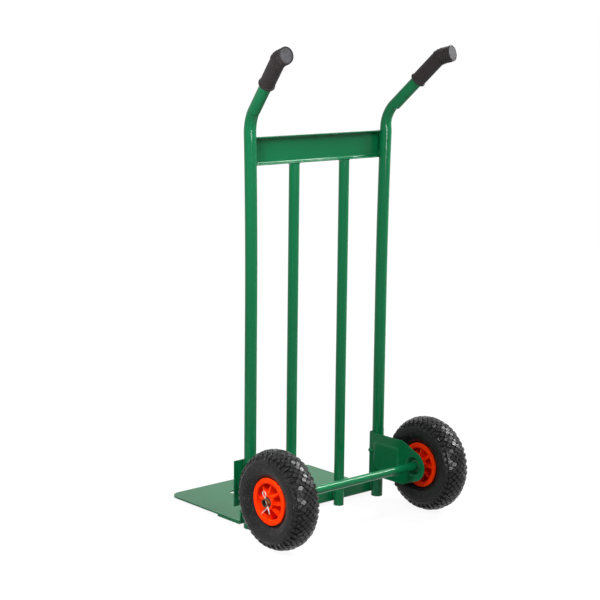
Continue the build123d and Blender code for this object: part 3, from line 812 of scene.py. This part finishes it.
# Wheel brackets: one pressed sheet each, which runs from a round end about the axle along the plate, round
# a bend and across in front of the upright
BRACKET_LOW, BRACKET_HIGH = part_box("right_wheel_bracket")
BRACKET_SHEET = 0.003
BRACKET_BEND = 0.0075
BRACKET_KINK = 0.041
BRACKET_END = 0.042
BRACKET_CORNER = 0.0015
BRACKET_ROWS = 92
EDGE_SHARE = 0.4
PANEL_MIDDLE = (TUBE_Y - 0.053, BRACKET_LOW.z + 0.0585)
PANEL_HALF = (0.050, 0.043)
PANEL_CORNER = 0.014
PANEL_SLOPE = 0.0075
PRESS_DEPTH = 0.003
BOSS_FLOOR = 0.0165
BOSS_RADIUS = 0.0275
BOSS_DEPTH = 0.014
DART_BEFORE_BEND = 0.006
DART_HEIGHT = 0.0695
DART_HALF = (0.019, 0.0065)
DART_FLAT = 0.35


def plate_edge(way):
    """One long edge of the bracket's plate, as places along it and heights from the axle: round the end, on
    the line that touches the round end and reaches the kink, and level from there."""
    level = BRACKET_HIGH.z if way > 0 else BRACKET_LOW.z
    kink_height = abs(level - AXLE_Z)
    kink_reach = np.hypot(BRACKET_KINK, kink_height)
    touch = np.arctan2(kink_height, BRACKET_KINK) + np.arccos(BRACKET_END / kink_reach)
    turn = np.linspace(tau / 2, touch, 40)
    places = np.concatenate([BRACKET_END * np.cos(turn), [BRACKET_KINK, 1.0]])
    heights = np.concatenate([BRACKET_END * np.sin(turn), [kink_height, kink_height]])
    return places, way * heights


def pressed_depth(along, place, height, bend_middle):
    """How far the sheet is pressed inwards: a soft raised panel, a dart across the bend, and a dish about
    the axle that goes the other way."""
    off_panel = np.broadcast_arrays(place - PANEL_MIDDLE[0], height - PANEL_MIDDLE[1])
    beyond = np.abs(np.stack(off_panel, axis=-1)) - np.array(PANEL_HALF) + PANEL_CORNER
    inside = np.minimum(beyond.max(axis=-1), 0.0)
    gap = np.linalg.norm(np.maximum(beyond, 0.0), axis=-1) + inside - PANEL_CORNER
    panel = smooth_step(-gap, 0.0, PANEL_SLOPE)
    dart_place = (along - bend_middle + DART_BEFORE_BEND) / DART_HALF[0]
    dart_height = (height - BRACKET_LOW.z - DART_HEIGHT) / DART_HALF[1]
    dart = 1 - smooth_step(np.hypot(dart_place, dart_height), DART_FLAT, 1.0)
    dish = 1 - smooth_step(np.hypot(place - AXLE_Y, height - AXLE_Z), BOSS_FLOOR, BOSS_RADIUS)
    return PRESS_DEPTH * np.maximum(panel, dart) - BOSS_DEPTH * dish


def bracket_sheet(side, material):
    """The bracket: stations along the sheet's path, rows from its lower to its upper edge, and two skins a
    sheet's thickness apart that draw together at the edges. The path is straight, a quarter circle and
    straight."""
    start = AXLE_Y - BRACKET_END
    middle_x = UPRIGHT_X - UPRIGHT_RADIUS - BRACKET_SHEET / 2
    plate = FRONT_Y + BRACKET_SHEET / 2 - BRACKET_BEND - start
    bend = BRACKET_BEND * tau / 4
    total = plate + bend + BRACKET_HIGH.x - middle_x - BRACKET_BEND
    round_end = BRACKET_END * (1 - np.cos(np.linspace(0.04, 1.3, 30)))
    round_corner = total - BRACKET_CORNER * (1 - np.sin(np.linspace(0.0, tau / 4, 10)))
    long_run = np.linspace(round_end[-1], round_corner[0], 190)[1:-1]
    along = np.concatenate([round_end, long_run, round_corner])[:, None]
    edges = [np.interp(along - BRACKET_END, *plate_edge(way)) for way in (-1, 1)]
    into_corner = np.maximum(along - total + BRACKET_CORNER, 0.0)
    corner = BRACKET_CORNER - np.sqrt(BRACKET_CORNER**2 - into_corner**2)
    low, high = AXLE_Z + edges[0] + corner, AXLE_Z + edges[1] - corner
    rows = np.linspace(0.012, 0.988, BRACKET_ROWS - 4)
    height = low + (high - low) * np.concatenate([[0.0, 0.004], rows, [0.996, 1.0]])
    turn = np.clip((along - plate) / BRACKET_BEND, 0.0, tau / 4)
    x = middle_x + BRACKET_BEND * (1 - np.cos(turn)) + np.maximum(along - plate - bend, 0.0)
    y = start + np.minimum(along, plate) + BRACKET_BEND * np.sin(turn)
    depth = pressed_depth(along, y, height, plate + bend / 2)
    near = np.minimum(np.minimum(height - low, high - height), total - along)
    from_round = 1 - np.clip(near / EDGE_ROUND, 0.0, 1.0)
    thinned = EDGE_SHARE + (1 - EDGE_SHARE) * np.sqrt(1 - from_round**2)
    half = BRACKET_SHEET / 2 * thinned
    lift = np.concatenate([depth + half, (depth - half)[:, ::-1]], axis=1)
    heights = np.concatenate([height, height[:, ::-1]], axis=1)
    x = SIDES[side] * (x - lift * np.cos(turn))
    points = in_space(x, y + lift * np.sin(turn), heights)
    count = 2 * BRACKET_ROWS
    faces = grid_faces(len(along), count)
    row = np.arange(BRACKET_ROWS - 1)
    cap = np.stack([row, row + 1, count - 2 - row, count - 1 - row], axis=-1)
    last = (len(along) - 1) * count
    faces += cap.tolist() + (cap + last).tolist()
    sheet = mesh_piece(f"{side}_bracket_sheet", points, faces, material, "frame")
    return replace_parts(sheet, f"{side}_wheel_bracket")


# Weld beads, in the corners between the tubes and the flat plates in front of them
BEAD_RADIUS = 0.0024
BEAD_SINK = 0.0016
BEAD_SPREAD = 0.57
BEAD_MARGIN = 0.004
BEAD_SHORT = 0.014
ANGLE_BEAD_START = 0.010
RIPPLE = 0.16
RIPPLE_PITCH = 0.0026
SWELL = 0.1
SWELL_PITCH = 0.0091
BEAD_STEPS = 14
BEAD_ROWS = 64
BEAD_SIZE = BEAD_ROWS * BEAD_STEPS
AXLE_BEAD_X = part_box("axle_welds")[1].x - BEAD_SINK
AXLE_BEAD_RING = 0.0127
AXLE_BEAD_LUMPS = [(9, 0.22, 0.0), (5, 0.14, 1.0), (23, 0.1, 0.0)]
TUBE_RADIUS = {"upright": UPRIGHT_RADIUS, "rail": RAIL_RADIUS}


def seam_bead(hand, tube, way, low, high):
    """A rippled bead up the corner between a tube and a plate: a round run whose radius rises and falls by
    two sines of the height and shrinks at both ends."""
    share = np.linspace(0.0, 1.0, BEAD_ROWS)[:, None]
    angle = full_circle(BEAD_STEPS)
    height = low + (high - low) * share
    ripple = RIPPLE * np.sin(tau * height / RIPPLE_PITCH)
    swell = SWELL * np.sin(tau * height / SWELL_PITCH)
    radius = BEAD_RADIUS * (1 + ripple + swell)
    radius = radius * np.clip(1 - np.abs(2 * share - 1) ** 8, POINT_SHARE, None)
    middle = bowed_x(height) if tube == "upright" else RAIL_X
    x = hand * (middle + way * BEAD_SPREAD * TUBE_RADIUS[tube])
    y = FRONT_Y - BEAD_SINK
    return in_space(x + radius * np.cos(angle), y + radius * np.sin(angle), height)


def axle_bead(hand):
    """A bead round the axle in the dish of a bracket, closed on itself: its radius swells in lumps, by
    sines of the angle round the axle."""
    turn = full_circle(BEAD_ROWS)[:, None]
    angle = full_circle(BEAD_STEPS)
    lumps = sum(size * np.sin(count * turn + start) for count, size, start in AXLE_BEAD_LUMPS)
    radius = BEAD_RADIUS * (1 + lumps)
    across = hand * radius * np.sin(angle)
    return about_axle(across, AXLE_BEAD_RING + radius * np.cos(angle), turn, hand * AXLE_BEAD_X)


def weld_beads(node, seams, material):
    """All the beads of one welded joint as one piece."""
    beads = np.stack([seam_bead(*seam) for seam in seams])
    faces = []
    for index in range(len(seams)):
        faces += capped_faces(BEAD_ROWS, BEAD_STEPS, index * BEAD_SIZE)
    name = node.replace("welds", "weld_beads")
    piece = mesh_piece(name, beads, faces, material, "frame")
    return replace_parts(piece, node)


def axle_beads(material):
    """The beads that hold the axle in both brackets."""
    points = np.stack([axle_bead(-1), axle_bead(1)])
    faces = grid_faces(BEAD_ROWS, BEAD_STEPS, wrap_rows=True)
    faces += grid_faces(BEAD_ROWS, BEAD_STEPS, wrap_rows=True, first=BEAD_SIZE)
    piece = mesh_piece("axle_weld_beads", points, faces, material, "frame")
    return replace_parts(piece, "axle_welds")


def end_spans(low, high):
    """A short span near the low end of a seam and another near its high end."""
    near, far = low + BEAD_MARGIN, high - BEAD_MARGIN
    return [(near, near + BEAD_SHORT), (far - BEAD_SHORT, far)]


def all_weld_beads(material):
    """Beads behind the crossbar, the brackets and the toe plate angle, and round the axle."""
    spans = end_spans(CROSSBAR_LOW.z, CROSSBAR_HIGH.z)
    seams = [(hand, "upright", -1, *span) for hand in (-1, 1) for span in spans]
    weld_beads("crossbar_welds", seams, material)
    spans = end_spans(BRACKET_LOW.z, BRACKET_HIGH.z)
    seams = [(hand, "upright", 1, *span) for hand in (-1, 1) for span in spans]
    weld_beads("bracket_welds", seams, material)
    span = (ANGLE_LOW.z + ANGLE_BEAD_START, ANGLE_HIGH.z - BEAD_MARGIN)
    places = [(hand, tube, way) for hand in (-1, 1) for tube in TUBE_RADIUS for way in (-1, 1)]
    seams = [(*place, *span) for place in places]
    weld_beads("toe_angle_welds", seams, material)
    axle_beads(material)


# Camera: where the photograph was taken from, how far it was turned, in radians, and its focal length
CAMERA_PLACE = Vector((-2.8406, -3.1481 + TUBE_Y, 1.3525))
CAMERA_YAW = 0.7227
CAMERA_PITCH = 0.178
CAMERA_ROLL = 0.0116
FOCAL_PIXELS = 1624.3
IMAGE_PIXELS = 600
SENSOR_MM = 36.0


def add_camera():
    """A camera turned by yaw, pitch and roll, with the photograph's field of view."""
    heading = Vector((sin(CAMERA_YAW), cos(CAMERA_YAW), 0.0))
    ahead = heading * cos(CAMERA_PITCH) - Vector((0.0, 0.0, sin(CAMERA_PITCH)))
    level = Vector((cos(CAMERA_YAW), -sin(CAMERA_YAW), 0.0))
    upright = level.cross(ahead)
    right = cos(CAMERA_ROLL) * level + sin(CAMERA_ROLL) * upright
    up = cos(CAMERA_ROLL) * upright - sin(CAMERA_ROLL) * level
    lens = bpy.data.cameras.new("camera")
    lens.sensor_width = SENSOR_MM
    lens.lens = SENSOR_MM * FOCAL_PIXELS / IMAGE_PIXELS
    camera = bpy.data.objects.new("camera", lens)
    turned = Matrix((right, up, -ahead)).transposed().to_4x4()
    camera.matrix_world = Matrix.Translation(CAMERA_PLACE) @ turned
    bpy.context.scene.collection.objects.link(camera)
    bpy.context.scene.camera = camera


def add_lamp(name, place, aim, size, power, beam=180.0, lights=True, mirrored=True):
    """A soft rectangular lamp that faces a point, with a beam of so many degrees. It may light matt
    surfaces, be mirrored in glossy ones, or both."""
    lamp = bpy.data.lights.new(name, "AREA")
    lamp.shape = "RECTANGLE"
    lamp.size, lamp.size_y = size
    lamp.energy = power
    lamp.spread = radians(beam)
    thing = bpy.data.objects.new(name, lamp)
    thing.location = place
    thing.rotation_euler = (Vector(aim) - Vector(place)).to_track_quat("-Z", "Y").to_euler()
    thing.visible_camera = False
    thing.visible_diffuse = lights
    thing.visible_glossy = mirrored
    bpy.context.scene.collection.objects.link(thing)


# Light: the main lamp, the surround's share, and how much of the floor shows as plain white, far off and
# round the truck
KEY_PLACE = (1.9, -0.75, 2.4)
KEY_AIM = (0.0, -0.1, 1.2)
WORLD_FILL = 0.22
FLOOR_GLOW = 0.80
SHADOW_GLOW = 0.73
SHADOW_EDGE = 2.56
SHADOW_EDGE_SOFT = 1.536
FLOOR_WHITE = 1.25
FLOOR_COLOUR = (0.37, 0.37, 0.37, 1.0)
FLOOR_REACH = 40.0
WHITE = (1.0, 1.0, 1.0, 1.0)


def seen_directly(finish):
    """1 for what the camera sees straight, in a gloss or through glass, and 0 for other light."""
    rays = ("Is Camera Ray", "Is Glossy Ray", "Is Transmission Ray")
    camera, glossy, through = [finish.node("ShaderNodeLightPath", output=ray) for ray in rays]
    return camera.or_more(glossy).or_more(through)


def add_world():
    """A white surround that shows as white and lights the object a little less than that."""
    world = bpy.data.worlds.new("white_surround")
    bpy.context.scene.world = world
    finish = Finish(world)
    strength = WORLD_FILL + seen_directly(finish) * (1 - WORLD_FILL)
    finish.feed(finish.tree.nodes["Background"], {"Color": WHITE, "Strength": strength})


def floor_white():
    """A matt floor. Seen straight or in a gloss it is mostly plain white, and a little less so round the
    truck, where the matt part shows its shadow: that edge is a square of the distance from the middle."""
    finish = new_finish("pale_floor")
    matt = finish.node("ShaderNodeBsdfDiffuse", {}, {"Color": FLOOR_COLOUR})
    white = finish.node("ShaderNodeEmission", {}, {"Color": WHITE, "Strength": FLOOR_WHITE})
    x, y = finish.axis("X"), finish.axis("Y")
    far = (x * x + y * y).above(SHADOW_EDGE, SHADOW_EDGE_SOFT)
    seen = seen_directly(finish) * (SHADOW_GLOW + far * (FLOOR_GLOW - SHADOW_GLOW))
    both = finish.node("ShaderNodeMixShader", {}, {0: seen, 1: matt, 2: white})
    finish.feed(finish.tree.nodes["Material Output"], {"Surface": both})
    return finish.owner


def add_floor():
    """A floor that touches both tyres and the front edge of the toe plate, as the truck stands: flat, and
    tilted about the axle's direction by the rise over the distance between those two touches."""
    tilt = (TOE_LOW.z - AXLE_Z + TYRE_RADIUS) / (TOE_HIGH.y - AXLE_Y)
    base = AXLE_Z - TYRE_RADIUS - AXLE_Y * tilt
    x, y = np.array([(-1, -1), (1, -1), (1, 1), (-1, 1)]).T * FLOOR_REACH
    mesh = bpy.data.meshes.new("floor")
    mesh.from_pydata(in_space(x, y, base + y * tilt).tolist(), [], [(0, 1, 2, 3)])
    mesh.materials.append(floor_white())
    floor = bpy.data.objects.new("floor", mesh)
    bpy.context.scene.collection.objects.link(floor)


PAINTED = ["left_upright", "right_upright", "left_centre_rail", "right_centre_rail", "crossbar"]
PAINTED += ["toe_plate", "toe_plate_angle", "left_wheel_bracket", "right_wheel_bracket"]
WELDS = ["crossbar_welds", "bracket_welds", "toe_angle_welds", "rail_welds", "axle_welds"]

paint = frame_paint()
bead_paint = weld_paint()
zinc = zinc_steel()
rubber = grip_rubber()
end_painted_reflection = grip_end_painted_reflection()
tyre_black = tyre_rubber()
tread_black = tread_rubber()
rim_orange = rim_plastic()
nylon = dark_plastic()

for node in PAINTED:
    dress(node, paint)
for node in WELDS:
    dress(node, bead_paint)
dress("axle_tube", axle_paint())
for side in SIDES:
    for piece in ("axle_washer", "split_pin"):
        dress(f"{side}_{piece}", zinc)
    dress(f"{side}_handle_grip", rubber)
    dress(f"{side}_tyre", tyre_black)
    tyre_carcass(side, tyre_black)
    tread_blocks(side, tread_black)
    upright_tube(side, paint)
    bracket_sheet(side, paint)
    grip_sleeve(side, rubber)
    grip_end(side, end_painted_reflection)
    dress(f"{side}_rim", rim_orange)
    for piece in ("air_tube", "hub_bushes", "valve_stem", "valve_cap"):
        dress(f"{side}_{piece}", nylon)

crossbar_channel(paint)
toe_angle_strip(paint)
all_weld_beads(bead_paint)

add_camera()
add_world()
add_floor()
add_lamp("highlight_strip", KEY_PLACE, KEY_AIM, size=(0.3, 1.8), power=150.0, lights=False)
add_lamp("key_softbox", KEY_PLACE, KEY_AIM, size=(0.8, 1.8), power=118.0, mirrored=False)
add_lamp(
    "wheel_softbox",
    place=(-0.95, -0.35, 1.1),
    aim=(-0.32, -0.2, 0.13),
    size=(0.3, 0.3),
    power=0.55,
    beam=26.0,
    mirrored=False,
)
add_lamp(
    "back_softbox",
    place=(-0.45, -3.0, 3.0),
    aim=(0.0, 0.0, 0.75),
    size=(1.0, 1.6),
    power=54.0,
    mirrored=False,
)
add_lamp(
    "handle_softbox",
    place=(-1.1, -0.5, 1.3),
    aim=(-0.25, -0.05, 1.0),
    size=(0.4, 0.4),
    power=14.0,
    mirrored=False,
)
add_lamp(
    "streak_box",
    place=(-0.95, -3.05, 1.28),
    aim=(0.0, 0.0, 1.1),
    size=(0.7, 1.0),
    power=105.0,
    lights=False,
)

bpy.context.scene.view_settings.view_transform = "Standard"
